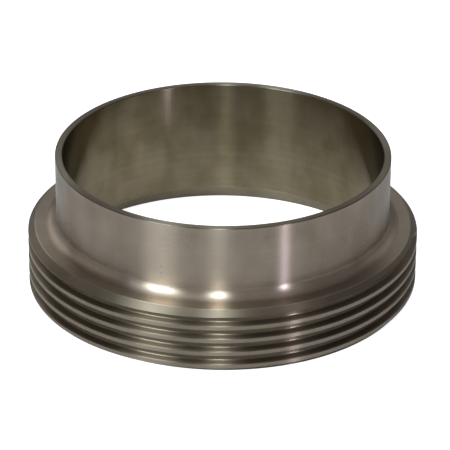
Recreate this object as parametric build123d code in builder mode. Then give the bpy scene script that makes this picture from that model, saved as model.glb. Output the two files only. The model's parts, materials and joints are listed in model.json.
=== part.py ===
# Threaded bevel seat ferrule for 3 inch sanitary tube, turned from one piece of stainless steel.
# Frame: origin at the centre of the seat end face, +Z along the bore towards the weld end.
# Lengths are in millimetres and angles in degrees.
import os
from math import ceil, isclose, pi, radians, sqrt, tan

from build123d import *

# Weld end, which is butt welded to 3 inch tube
tube_diameter = 76.2
tube_wall = 1.65
overall_height = 32.0
rim_edge_break = 0.2

# Collar that carries the thread; its shoulder stands out from the tube
collar_height = 15.0
shoulder_width = 6.5
shoulder_fillet = 2.5
shoulder_chamfer = 1.6
seat_end_chamfer = 0.8

# Conical seat in the mouth of the collar, where the mating bevel closes the joint
seat_width = 4.85
seat_angle = 45.0

# Acme thread on the collar: right-hand, one start, 8 threads per inch
thread_pitch = 3.175
thread_depth = 1.4
thread_crest = 0.39 * thread_pitch
flank_angle = 14.5

# At its upper end the groove is cut full depth up to this angle about Z, its middle this far under
# the shoulder, and then runs out. Its lower end runs out through the seat end's chamfer.
thread_end_angle = -18.0
thread_end_drop = 1.665
cutter_overrun = 0.3

tube_radius = tube_diameter / 2
bore_radius = tube_radius - tube_wall
seat_mouth_radius = bore_radius + seat_width
seat_depth = seat_width / tan(radians(seat_angle))
thread_radius = tube_radius + shoulder_width
thread_root_radius = thread_radius - thread_depth

# Axial widths of the groove between the crests, at the root, and of its cutter past the crests
flank_slope = tan(radians(flank_angle))
groove_mouth = thread_pitch - thread_crest
groove_root = groove_mouth - 2 * thread_depth * flank_slope
cutter_mouth = groove_mouth + 2 * cutter_overrun * flank_slope

# The tool leaves the groove in a straight line, and is clear of the collar after this length
run_out_length = sqrt((thread_radius + cutter_overrun) ** 2 - thread_root_radius**2)
run_out_rise = thread_pitch / (2 * pi * thread_root_radius)


def ring(part, radius, height):
    """Return the part's circular edge of this radius at this height."""
    circles = part.edges().filter_by(GeomType.CIRCLE)
    return circles.filter_by(
        lambda edge: isclose(edge.radius, radius, abs_tol=1e-4)
        and isclose(edge.arc_center.Z, height, abs_tol=1e-4)
    )


# Axial section of the groove
with BuildSketch(Plane.XZ) as groove_section:
    with BuildLine():
        Polyline(
            (thread_root_radius, -groove_root / 2),
            (thread_radius + cutter_overrun, -cutter_mouth / 2),
            (thread_radius + cutter_overrun, cutter_mouth / 2),
            (thread_root_radius, groove_root / 2),
            close=True,
        )
    make_face()

# One turn of the thread cutter, which ends where it starts, and the straight run-out above it
with BuildPart() as cutter_turn:
    with BuildLine() as turn_path:
        Helix(pitch=thread_pitch, height=thread_pitch, radius=thread_root_radius)
    sweep(groove_section.sketch, path=turn_path.line, is_frenet=True)

with BuildPart() as cutter_run_out:
    extrude(groove_section.sketch, amount=run_out_length, dir=(0, 1, run_out_rise))

with BuildPart() as ferrule:
    # Turned body: weld end, collar, bore and conical seat
    with BuildSketch(Plane.XZ):
        with BuildLine():
            Polyline(
                (seat_mouth_radius, 0),
                (thread_radius, 0),
                (thread_radius, collar_height),
                (tube_radius, collar_height),
                (tube_radius, overall_height),
                (bore_radius, overall_height),
                (bore_radius, seat_depth),
                close=True,
            )
        make_face()
    revolve(axis=Axis.Z)

    # Turned corners
    fillet(ring(ferrule, tube_radius, collar_height), shoulder_fillet)
    chamfer(ring(ferrule, thread_radius, collar_height), shoulder_chamfer)
    chamfer(ring(ferrule, thread_radius, 0), seat_end_chamfer)
    chamfer(ring(ferrule, tube_radius, overall_height), rim_edge_break)
    chamfer(ring(ferrule, bore_radius, overall_height), rim_edge_break)

    # Thread, cut turn by turn from its upper end down past the seat end
    cut_end = collar_height - thread_end_drop
    turns = ceil((cut_end + cutter_mouth / 2) / thread_pitch)
    for turn in range(1, turns + 1):
        turn_height = cut_end - turn * thread_pitch
        with Locations(Location((0, 0, turn_height), (0, 0, thread_end_angle))):
            add(cutter_turn.part, mode=Mode.SUBTRACT)
    with Locations(Location((0, 0, cut_end), (0, 0, thread_end_angle))):
        add(cutter_run_out.part, mode=Mode.SUBTRACT)

ferrule.part.label = "ferrule"

os.makedirs("parts", exist_ok=True)
export_step(ferrule.part, "parts/ferrule.step")
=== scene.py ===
import json
from math import atan2, ceil, cos, pi, radians, sin, sqrt, tan

import bmesh
import bpy
from mathutils import Matrix, Vector


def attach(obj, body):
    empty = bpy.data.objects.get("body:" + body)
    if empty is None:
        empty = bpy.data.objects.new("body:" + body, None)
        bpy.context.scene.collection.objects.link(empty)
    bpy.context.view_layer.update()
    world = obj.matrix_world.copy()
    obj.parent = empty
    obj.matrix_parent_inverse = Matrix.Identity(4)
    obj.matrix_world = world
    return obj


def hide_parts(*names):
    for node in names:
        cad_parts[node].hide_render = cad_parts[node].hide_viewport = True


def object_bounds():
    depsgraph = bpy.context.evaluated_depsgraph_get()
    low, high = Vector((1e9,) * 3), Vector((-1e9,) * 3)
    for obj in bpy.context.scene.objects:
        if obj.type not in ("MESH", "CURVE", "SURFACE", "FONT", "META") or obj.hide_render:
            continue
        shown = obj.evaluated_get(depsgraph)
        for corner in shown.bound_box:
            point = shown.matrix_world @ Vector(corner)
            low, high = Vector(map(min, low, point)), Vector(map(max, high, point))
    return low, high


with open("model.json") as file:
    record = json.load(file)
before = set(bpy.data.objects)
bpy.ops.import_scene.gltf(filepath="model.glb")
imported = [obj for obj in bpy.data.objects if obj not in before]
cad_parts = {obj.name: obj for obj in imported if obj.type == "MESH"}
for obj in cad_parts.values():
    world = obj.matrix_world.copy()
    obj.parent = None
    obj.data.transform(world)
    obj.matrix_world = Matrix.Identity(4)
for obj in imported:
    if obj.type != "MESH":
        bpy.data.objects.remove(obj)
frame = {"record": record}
cad_low, cad_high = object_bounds()

mm = 0.001
um = 0.001 * mm

# Sizes read from the frame: the collar's outside, the whole height, the tube end and the bore
mounts = {mount["name"]: mount for mount in frame["record"]["mounts"]}
collar_radius = round(cad_high.x, 4)
overall_height = round(cad_high.z, 4)
tube_radius = mm * mounts["weld_stub"]["dims"]["r_mm"]
bore_radius = mm * mounts["bore"]["dims"]["r_mm"]

# Turned corners of the collar and the rim, and the conical seat in the collar's mouth
collar_height = 15.0 * mm
shoulder_fillet = 2.5 * mm
shoulder_chamfer = 1.6 * mm
seat_end_chamfer = 0.8 * mm
seat_width = 4.85 * mm
rim_edge_break = 0.2 * mm
shoulder_edge_round = 0.15 * mm
edge_round = 0.12 * mm

# Acme thread: right-hand, one start, cut full depth up to an angle and a drop under the shoulder
thread_pitch = 3.175 * mm
thread_depth = 1.4 * mm
groove_mouth = 0.61 * thread_pitch
flank_angle = radians(14.5)
thread_end_angle = radians(-18)
thread_end_drop = 1.665 * mm
crest_round = 0.18 * mm
root_round = 0.25 * mm
cutter_overrun = 0.3 * mm

# Facets round the axis, across the fillet, and across each small round or broken edge
columns = 360
fillet_rows = 14
edge_rows = 3

# How near a vertex lies to the place that is asked for, on the blank and on the thread's cutter
near = 0.02 * mm
very_near = 0.001 * mm

# The groove's bottom and the height where its full depth ends. The cutter is turned half a column
# past its end angle, so that none of its edges lies on an edge of the blank.
thread_root_radius = collar_radius - thread_depth
cut_end = collar_height - thread_end_drop
cutter_end_angle = thread_end_angle + pi / columns

# Camera, fitted to the rim, the collar and the thread
camera_place = (0.00054, -0.56966, 0.30816)
camera_pitch = 0.4777
camera_roll = 0.0078
camera_lens = 223.45

# Room: the floor's size, the hair's breadth it lies under the ferrule, its glow and its paint, the
# light all round, and how far off the lamps are
floor_size = 12.0
floor_drop = 0.05 * mm
floor_glow_to_camera = 0.85
floor_glow_in_reflections = 0.10
floor_white = 0.50
room_brightness = 0.21
lamp_distance = 2.0


def deselect_everything():
    """Leave no object selected, so that an operator acts on what is made next."""
    bpy.ops.object.select_all(action="DESELECT")


def take_up(piece):
    """Select this piece alone and make it the active one."""
    deselect_everything()
    bpy.context.view_layer.objects.active = piece
    piece.select_set(True)


def apply_place():
    """Put the place, turn and scale of the selected piece into its mesh."""
    bpy.ops.object.transform_apply(location=True, rotation=True, scale=True)


def apply_modifier(piece, modifier):
    take_up(piece)
    bpy.ops.object.modifier_apply(modifier=modifier.name)


def edit(piece):
    """Open the piece for editing with nothing on it selected."""
    take_up(piece)
    bpy.ops.object.mode_set(mode="EDIT")
    bpy.ops.mesh.select_mode(type="VERT")
    bpy.ops.mesh.select_all(action="DESELECT")


def finish_editing():
    bpy.ops.object.mode_set(mode="OBJECT")


def choose(piece, is_wanted):
    """Select the vertices whose place passes the test, and the edges and faces between them."""
    bpy.ops.mesh.select_all(action="DESELECT")
    mesh = bmesh.from_edit_mesh(piece.data)
    for vertex in mesh.verts:
        vertex.select = is_wanted(vertex.co)
    mesh.select_flush(True)
    bmesh.update_edit_mesh(piece.data)


def choose_ring(piece, radius, height):
    """Select the ring of edges at this radius and height."""
    choose(
        piece,
        lambda place: abs(place.xy.length - radius) < near and abs(place.z - height) < near,
    )


def extrude(step):
    bpy.ops.mesh.extrude_region_move(TRANSFORM_OT_translate={"value": step})


def extrude_ring(start, end):
    """Extrude the selected ring from one (radius, height) of the section to the next."""
    (start_radius, start_height), (end_radius, end_height) = start, end
    extrude((0, 0, end_height - start_height))
    scale = end_radius / start_radius
    bpy.ops.transform.resize(value=(scale, scale, 1), center_override=(0, 0, end_height))


def cut_corner(size, rows, affect="EDGES"):
    """Cut back the selected corner: one row makes a chamfer, and more rows make a round."""
    bpy.ops.mesh.bevel(offset=size, segments=rows, profile=0.5, affect=affect)


def face_outward():
    """Turn every face of the piece in hand to face outward."""
    bpy.ops.mesh.select_all(action="SELECT")
    bpy.ops.mesh.normals_make_consistent(inside=False)


def turn_blank():
    """Turn the ferrule without its thread: tube end, collar, seat end face and bore."""
    deselect_everything()
    bpy.ops.mesh.primitive_cylinder_add(
        vertices=columns,
        radius=tube_radius,
        depth=overall_height - collar_height,
        end_fill_type="NOTHING",
        location=(0, 0, (overall_height + collar_height) / 2),
    )
    blank = bpy.context.active_object
    blank.name = blank.data.name = "turned_ferrule"
    apply_place()

    # From the tube end's lower rim out over the shoulder, down, in, and up the bore
    edit(blank)
    section = [
        (tube_radius, collar_height),
        (collar_radius, collar_height),
        (collar_radius, 0),
        (bore_radius, 0),
        (bore_radius, overall_height),
    ]
    choose_ring(blank, *section[0])
    for start, end in zip(section, section[1:]):
        extrude_ring(start, end)
    choose(blank, lambda place: place.z > overall_height - near)
    bpy.ops.mesh.bridge_edge_loops()

    # Cuts at each corner: place on the section, size, and rows across it
    corners = [
        (tube_radius, collar_height, shoulder_fillet, fillet_rows),
        (collar_radius, collar_height, shoulder_chamfer, 1),
        (collar_radius, 0, seat_end_chamfer, 1),
        (bore_radius, 0, seat_width, 1),
        (tube_radius, overall_height, rim_edge_break, edge_rows),
        (bore_radius, overall_height, rim_edge_break, edge_rows),
    ]
    for radius, height, size, rows in corners:
        choose_ring(blank, radius, height)
        cut_corner(size, rows)

    # The sharp turns that the corners left are eased a little, as a file leaves them
    eased = [
        (collar_radius - shoulder_chamfer, collar_height, shoulder_edge_round),
        (collar_radius, collar_height - shoulder_chamfer, shoulder_edge_round),
        (collar_radius, seat_end_chamfer, edge_round),
        (collar_radius - seat_end_chamfer, 0, edge_round),
        (bore_radius + seat_width, 0, edge_round),
        (bore_radius, seat_width, edge_round),
    ]
    for radius, height, size in eased:
        choose_ring(blank, radius, height)
        cut_corner(size, edge_rows)

    face_outward()
    finish_editing()
    return blank


def groove_section():
    """Draw the groove's outline on the plane y = 0, with its root and crest corners rounded."""
    flare = crest_round + cutter_overrun
    root_radius, root_width = thread_root_radius, groove_mouth - 2 * thread_depth * tan(flank_angle)
    crest_radius, crest_width = collar_radius - crest_round, groove_mouth
    outer_radius, outer_width = collar_radius + cutter_overrun, groove_mouth + 2 * flare

    # A square, 1 m wide, whose two sides are narrowed and moved to the groove's root and crest
    half_square = 0.5
    deselect_everything()
    bpy.ops.mesh.primitive_plane_add(
        size=2 * half_square, location=(0, 0, 0), rotation=(pi / 2, 0, 0)
    )
    outline = bpy.context.active_object
    outline.name = "thread_cutter"
    apply_place()
    edit(outline)
    for side, radius, width in (
        (-1, root_radius, root_width),
        (1, crest_radius, crest_width),
    ):
        choose(outline, lambda place: place.x == side * half_square)
        bpy.ops.transform.resize(value=(1, 1, width), center_override=(0, 0, 0))
        bpy.ops.transform.translate(value=(radius - side * half_square, 0, 0))

    # Past the crest the section flares, and so takes the crest's corner off
    choose(outline, lambda place: abs(place.x - crest_radius) < very_near)
    extrude((outer_radius - crest_radius, 0, 0))
    bpy.ops.transform.resize(value=(1, 1, outer_width / crest_width), center_override=(0, 0, 0))

    bpy.ops.mesh.select_all(action="SELECT")
    bpy.ops.mesh.dissolve_faces()
    for corner_radius, size in ((root_radius, root_round), (crest_radius, crest_round)):
        choose(outline, lambda place: abs(place.x - corner_radius) < very_near)
        cut_corner(size, edge_rows, affect="VERTICES")
    bpy.ops.mesh.select_all(action="SELECT")
    bpy.ops.mesh.delete(type="ONLY_FACE")
    finish_editing()
    return outline


def add_run_out(cutter):
    """Lengthen the cutter's upper end: the tool leaves the groove there in a straight line."""
    edit(cutter)
    choose(
        cutter,
        lambda place: place.z > cut_end - groove_mouth
        and abs(atan2(place.y, place.x) - cutter_end_angle) < pi / (2 * columns),
    )
    straight = sqrt((collar_radius + cutter_overrun) ** 2 - thread_root_radius**2)
    rise = straight * thread_pitch / (2 * pi * thread_root_radius)
    extrude((-straight * sin(cutter_end_angle), straight * cos(cutter_end_angle), rise))
    finish_editing()


def close_ends(cutter):
    edit(cutter)
    bpy.ops.mesh.select_mode(type="EDGE")
    bpy.ops.mesh.select_non_manifold(extend=False, use_boundary=True)
    bpy.ops.mesh.fill()
    face_outward()
    finish_editing()


def thread_cutter():
    """Sweep the groove's section up a helix, from below the seat end to past the shoulder."""
    cutter = groove_section()
    turns = ceil((cut_end + groove_mouth) / thread_pitch)
    cutter.rotation_euler.z = cutter_end_angle
    cutter.location.z = cut_end - turns * thread_pitch
    take_up(cutter)
    apply_place()

    helix = cutter.modifiers.new("helix", "SCREW")
    helix.axis = "Z"
    helix.angle = 2 * pi
    helix.iterations = turns
    helix.screw_offset = thread_pitch
    helix.steps = helix.render_steps = columns
    helix.use_normal_calculate = True
    apply_modifier(cutter, helix)

    add_run_out(cutter)
    close_ends(cutter)
    return cutter


def cut_thread(piece):
    cutter = thread_cutter()
    cut = piece.modifiers.new("thread", "BOOLEAN")
    cut.operation = "DIFFERENCE"
    cut.solver = "EXACT"
    cut.object = cutter
    apply_modifier(piece, cut)
    bpy.data.objects.remove(cutter)
    edit(piece)
    bpy.ops.mesh.select_all(action="SELECT")
    bpy.ops.mesh.remove_doubles(threshold=very_near)
    face_outward()
    finish_editing()


def smooth(piece, sharpest):
    """Shade smooth up to this angle, with the broad faces keeping their own direction."""
    take_up(piece)
    bpy.ops.object.shade_smooth_by_angle(angle=sharpest)
    weighted = piece.modifiers.new("weighted normals", "WEIGHTED_NORMAL")
    weighted.keep_sharp = True
    apply_modifier(piece, weighted)


def link(nodes, outlet, inlet):
    nodes.id_data.links.new(outlet, inlet)


def math_node(nodes, operation, first, second):
    """A Math node whose inputs are numbers or the outlets of other nodes."""
    node = nodes.new("ShaderNodeMath")
    node.operation = operation
    for inlet, value in zip(node.inputs, (first, second)):
        if isinstance(value, (int, float)):
            inlet.default_value = value
        else:
            link(nodes, value, inlet)
    return node.outputs["Value"]


def make_surface_marks():
    """Shader group: rings that a lathe leaves round the axis, streaks along it, and patches."""
    group = bpy.data.node_groups.new("surface_marks", "ShaderNodeTree")
    sockets = group.interface
    names = ("Rings", "Broad Rings", "Streaks", "Patches")
    for name in names:
        sockets.new_socket(name=name + " Per Metre", in_out="INPUT", socket_type="NodeSocketFloat")
    for name in names:
        sockets.new_socket(name=name, in_out="OUTPUT", socket_type="NodeSocketFloat")
    nodes = group.nodes
    given = nodes.new("NodeGroupInput")
    made = nodes.new("NodeGroupOutput")

    # Place on the turned section: distance from the axis, and height
    place = nodes.new("ShaderNodeTexCoord").outputs["Object"]
    parts = nodes.new("ShaderNodeSeparateXYZ")
    link(nodes, place, parts.inputs["Vector"])
    across = nodes.new("ShaderNodeCombineXYZ")
    link(nodes, parts.outputs["X"], across.inputs["X"])
    link(nodes, parts.outputs["Y"], across.inputs["Y"])
    distance = nodes.new("ShaderNodeVectorMath")
    distance.operation = "LENGTH"
    link(nodes, across.outputs["Vector"], distance.inputs[0])
    section = nodes.new("ShaderNodeCombineXYZ")
    link(nodes, distance.outputs["Value"], section.inputs["X"])
    link(nodes, parts.outputs["Z"], section.inputs["Y"])

    # Place with its height pressed together, on which marks come out drawn along the axis
    drawn = nodes.new("ShaderNodeVectorMath")
    drawn.operation = "MULTIPLY"
    drawn.inputs[1].default_value = (1, 1, 0.12)
    link(nodes, place, drawn.inputs[0])

    for name, place_on, detail in (
        ("Rings", section.outputs["Vector"], 2),
        ("Broad Rings", section.outputs["Vector"], 2),
        ("Streaks", drawn.outputs["Vector"], 2),
        ("Patches", place, 4),
    ):
        noise = nodes.new("ShaderNodeTexNoise")
        noise.inputs["Detail"].default_value = detail
        link(nodes, place_on, noise.inputs["Vector"])
        link(nodes, given.outputs[name + " Per Metre"], noise.inputs["Scale"])
        link(nodes, noise.outputs["Fac"], made.inputs[name])
    return group


def turned_finish(marks, name, color, stain, roughness, ring_depth, contrast, stretch=1):
    """Stainless with its finish in rings round the axis, so it stretches a highlight across them.

    color is the clean metal and stain the colour of its patches; contrast scales all the marks,
    and stretch, from 0 to 1, is how far a highlight is drawn out across the rings.
    """
    material = bpy.data.materials.new(name)
    material.use_nodes = True
    nodes = material.node_tree.nodes
    shader = nodes["Principled BSDF"]
    shader.inputs["Metallic"].default_value = 1
    shader.inputs["Anisotropic"].default_value = stretch
    shader.inputs["Anisotropic Rotation"].default_value = 0.25
    shader.inputs["Specular Tint"].default_value = (0.75, 0.75, 0.75, 1)
    tangent = nodes.new("ShaderNodeTangent")
    tangent.direction_type = "RADIAL"
    tangent.axis = "Z"
    link(nodes, tangent.outputs["Tangent"], shader.inputs["Tangent"])

    lines = nodes.new("ShaderNodeGroup")
    lines.node_tree = marks
    lines.inputs["Rings Per Metre"].default_value = 7000
    lines.inputs["Broad Rings Per Metre"].default_value = 900
    lines.inputs["Streaks Per Metre"].default_value = 260
    lines.inputs["Patches Per Metre"].default_value = 120

    # Colour: patches of stain on the clean metal
    metal = nodes.new("ShaderNodeValToRGB")
    clean, stained = metal.color_ramp.elements
    clean.position, stained.position = 0.42, 0.66
    clean.color, stained.color = (*color, 1), (*stain, 1)
    link(nodes, lines.outputs["Patches"], metal.inputs["Fac"])

    # Lighter and darker rings and streaks, which leave the colour as it is on average
    average_mark = 0.5
    strengths = {"Rings": 0.25, "Broad Rings": 0.25, "Streaks": 0.5}
    shade = 1 - average_mark * contrast * sum(strengths.values())
    for mark, strength in strengths.items():
        change = math_node(nodes, "MULTIPLY", lines.outputs[mark], contrast * strength)
        shade = math_node(nodes, "ADD", shade, change)
    shaded = nodes.new("ShaderNodeVectorMath")
    shaded.operation = "SCALE"
    link(nodes, metal.outputs["Color"], shaded.inputs[0])
    link(nodes, shade, shaded.inputs["Scale"])
    link(nodes, shaded.outputs["Vector"], shader.inputs["Base Color"])

    # The stained patches are a little duller
    dulling = 0.08
    dulled = math_node(nodes, "MULTIPLY", lines.outputs["Patches"], dulling)
    clean_roughness = roughness - average_mark * dulling
    link(nodes, math_node(nodes, "ADD", dulled, clean_roughness), shader.inputs["Roughness"])

    height = math_node(nodes, "MULTIPLY", lines.outputs["Rings"], ring_depth)
    bump = nodes.new("ShaderNodeBump")
    bump.inputs["Distance"].default_value = 1
    link(nodes, height, bump.inputs["Height"])
    link(nodes, bump.outputs["Normal"], shader.inputs["Normal"])
    return material


def make_finishes():
    """The finish of each turned surface: clean metal, stain, and how it was cut or polished. The
    shoulder and seat are painted lighter, and the chamfer, rim edges, flanks and roots darker, as
    painted light and shade.
    """
    marks = make_surface_marks()
    return [
        turned_finish(
            marks, "satin_tube_outside", (0.290, 0.232, 0.188), (0.249, 0.202, 0.158),
            roughness=0.265, ring_depth=0.4 * um, contrast=0.6,
        ),
        turned_finish(
            marks, "polished_fillet", (0.275, 0.223, 0.180), (0.245, 0.200, 0.156),
            roughness=0.30, ring_depth=0.5 * um, contrast=0.35,
        ),
        # The shoulder: the same steel painted lighter, as a painted highlight for the light that
        # the tube's wall throws down on it
        turned_finish(
            marks, "turned_shoulder_painted_light", (0.335, 0.285, 0.228), (0.306, 0.258, 0.200),
            roughness=0.30, ring_depth=0.3 * um, contrast=0.4, stretch=0.85,
        ),
        # The chamfer: the same steel painted darker, as painted shade that dims its highlights
        turned_finish(
            marks, "turned_chamfer_painted_shade", (0.140, 0.116, 0.088), (0.129, 0.107, 0.079),
            roughness=0.44, ring_depth=0.3 * um, contrast=0.5, stretch=0.92,
        ),
        turned_finish(
            marks, "faced_rim", (0.240, 0.204, 0.162), (0.220, 0.190, 0.145),
            roughness=0.32, ring_depth=0.6 * um, contrast=0.3,
        ),
        # The rim's broken edges: painted darker than the rim's face, as painted shade along both
        # edges
        turned_finish(
            marks, "rim_edge_painted_shade", (0.120, 0.104, 0.083), (0.110, 0.097, 0.076),
            roughness=0.32, ring_depth=0.6 * um, contrast=0.3,
        ),
        turned_finish(
            marks, "thread_crest", (0.252, 0.202, 0.161), (0.231, 0.188, 0.145),
            roughness=0.24, ring_depth=0.8 * um, contrast=0.35,
        ),
        # Flanks and roots: the same steel painted darker than the crests, as painted shade in the
        # grooves
        turned_finish(
            marks, "thread_flank_painted_shade", (0.122, 0.096, 0.069), (0.112, 0.088, 0.062),
            roughness=0.36, ring_depth=0.8 * um, contrast=0.35,
        ),
        turned_finish(
            marks, "thread_root_painted_shade", (0.130, 0.103, 0.075), (0.120, 0.094, 0.067),
            roughness=0.24, ring_depth=0.8 * um, contrast=0.35,
        ),
        turned_finish(
            marks, "bored_inside", (0.276, 0.224, 0.150), (0.206, 0.171, 0.102),
            roughness=0.195, ring_depth=0.8 * um, contrast=0.85,
        ),
        # The seat: painted lighter than the bore, as painted light over the shade it reflects from
        # the floor under the ferrule
        turned_finish(
            marks, "ground_seat_painted_light", (0.305, 0.248, 0.168), (0.262, 0.214, 0.138),
            roughness=0.31, ring_depth=0.5 * um, contrast=0.5,
        ),
    ]


def finish_name(face):
    """Name the finish of a face, by where it lies on the section and which way it faces.

    outward and upward run from -1 to 1, and are 1 for a face square to that direction.
    """
    distance, height = face.center.xy.length, face.center.z
    outward = face.normal.xy.dot(face.center.xy) / distance
    upward = face.normal.z
    if outward < -0.3 and height < overall_height - rim_edge_break:
        return "bored_inside" if upward > -0.1 else "ground_seat_painted_light"
    if height > overall_height - rim_edge_break:
        return "faced_rim" if upward > 0.98 else "rim_edge_painted_shade"
    if height > collar_height + 0.8 * shoulder_fillet:
        return "satin_tube_outside"
    if height > collar_height + near:
        return "polished_fillet"
    if height > collar_height - 5 * um:
        return "turned_shoulder_painted_light"

    # The shoulder's chamfer, with the rounded edge above it polished and the one below it a crest
    if height > collar_height - shoulder_chamfer and outward > 0.1:
        if upward > 0.75:
            return "polished_fillet"
        return "turned_chamfer_painted_shade" if upward > 0.3 else "thread_crest"

    # The thread, whose flanks and roots are painted darker than its crests as painted shade in the
    # grooves. The seat end face, on which the ferrule stands, is cut like the flanks and takes
    # their painted shade too.
    if distance > collar_radius - crest_round and outward > 0.9:
        return "thread_crest"
    return "thread_flank_painted_shade" if abs(upward) > 0.5 else "thread_root_painted_shade"


def finish_surfaces(piece):
    for finish in make_finishes():
        piece.data.materials.append(finish)
    slots = {finish.name: index for index, finish in enumerate(piece.data.materials)}
    for face in piece.data.polygons:
        face.material_index = slots[finish_name(face)]


def make_ferrule():
    ferrule = turn_blank()
    cut_thread(ferrule)
    smooth(ferrule, radians(32))
    finish_surfaces(ferrule)
    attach(ferrule, "root")
    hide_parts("ferrule")


def make_camera():
    data = bpy.data.cameras.new("camera")
    data.lens = camera_lens
    data.sensor_width = 36
    data.clip_start = 0.01
    data.clip_end = 20
    camera = bpy.data.objects.new("camera", data)
    bpy.context.scene.collection.objects.link(camera)
    camera.location = camera_place
    turn = Matrix.Rotation(pi / 2 - camera_pitch, 3, "X") @ Matrix.Rotation(camera_roll, 3, "Z")
    camera.rotation_euler = turn.to_euler()
    bpy.context.scene.camera = camera


def floor_material():
    """White paper: it glows for the camera and in reflections, and takes the ferrule's shadow."""
    material = bpy.data.materials.new("white_floor")
    material.use_nodes = True
    nodes = material.node_tree.nodes
    nodes.clear()
    path = nodes.new("ShaderNodeLightPath")
    reflected = math_node(
        nodes, "MAXIMUM", path.outputs["Is Glossy Ray"], path.outputs["Is Transmission Ray"]
    )
    strength = math_node(
        nodes,
        "ADD",
        math_node(nodes, "MULTIPLY", path.outputs["Is Camera Ray"], floor_glow_to_camera),
        math_node(nodes, "MULTIPLY", reflected, floor_glow_in_reflections),
    )
    glow = nodes.new("ShaderNodeEmission")
    link(nodes, strength, glow.inputs["Strength"])
    paper = nodes.new("ShaderNodeBsdfDiffuse")
    paper.inputs["Color"].default_value = (floor_white, floor_white, floor_white, 1)
    both = nodes.new("ShaderNodeAddShader")
    link(nodes, glow.outputs["Emission"], both.inputs[0])
    link(nodes, paper.outputs["BSDF"], both.inputs[1])
    output = nodes.new("ShaderNodeOutputMaterial")
    link(nodes, both.outputs["Shader"], output.inputs["Surface"])
    return material


def make_floor():
    deselect_everything()
    bpy.ops.mesh.primitive_plane_add(size=floor_size, location=(0, 0, -floor_drop))
    floor = bpy.context.active_object
    floor.name = "floor"
    apply_place()
    floor.data.materials.append(floor_material())


def make_world():
    world = bpy.data.worlds.new("room")
    world.use_nodes = True
    background = world.node_tree.nodes["Background"]
    background.inputs["Color"].default_value = (1, 1, 1, 1)
    background.inputs["Strength"].default_value = room_brightness
    bpy.context.scene.world = world


def add_lamp(name, azimuth, elevation, wide, tall, brightness, color):
    """A rectangular lamp whose place and size are angles, in degrees, seen from the ferrule."""
    data = bpy.data.lights.new(name, "AREA")
    data.shape = "RECTANGLE"
    data.size = 2 * lamp_distance * tan(radians(wide / 2))
    data.size_y = 2 * lamp_distance * tan(radians(tall / 2))
    data.energy = brightness * pi * data.size * data.size_y
    data.color = color
    lamp = bpy.data.objects.new(name, data)
    bpy.context.scene.collection.objects.link(lamp)
    side, rise = radians(azimuth), radians(elevation)
    away = Vector((cos(rise) * cos(side), cos(rise) * sin(side), sin(rise)))
    lamp.location = Vector((0, 0, collar_height)) + lamp_distance * away
    lamp.rotation_euler = away.to_track_quat("Z", "Y").to_euler()


def make_lamps():
    """Broad dim panels all round, and the window and lamps that make the bright streaks."""
    white = (1, 1, 1)
    add_lamp("overhead_panel", 90, 80, 50, 50, 0.6, white)
    add_lamp("back_panel", 90, 27, 90, 26, 0.25, white)
    add_lamp("back_panel_left", 130, 22, 40, 24, 1.1, white)
    add_lamp("back_panel_right", 40, 25, 40, 24, 0.35, white)
    add_lamp("left_panel", 178, 25, 40, 30, 0.6, white)
    add_lamp("front_panel", -80, 32, 80, 24, 0.6, white)
    add_lamp("front_top_panel", -90, 62, 90, 24, 0.2, white)
    add_lamp("right_panel", -5, 38, 60, 26, 0.15, white)

    daylight = (0.84, 0.96, 1.0)
    add_lamp("left_window", -138, 31, 30, 30, 1.6, daylight)
    add_lamp("left_window_bright", -132.7, 33, 17, 28, 18, daylight)
    add_lamp("left_window_top", -148, 60, 30, 26, 1.6, daylight)
    add_lamp("front_lamp_glow", -93, 42, 11, 30, 5, daylight)
    add_lamp("front_lamp", -92.5, 40, 5, 28, 30, daylight)
    add_lamp("front_lamp_top", -102, 64, 12, 24, 1.0, daylight)

    bluish = (0.78, 0.77, 1.0)
    add_lamp("right_strip", -50, 6, 4, 12, 46, bluish)


make_camera()
make_floor()
make_world()
make_lamps()
make_ferrule()

bpy.context.scene.view_settings.view_transform = "Standard"
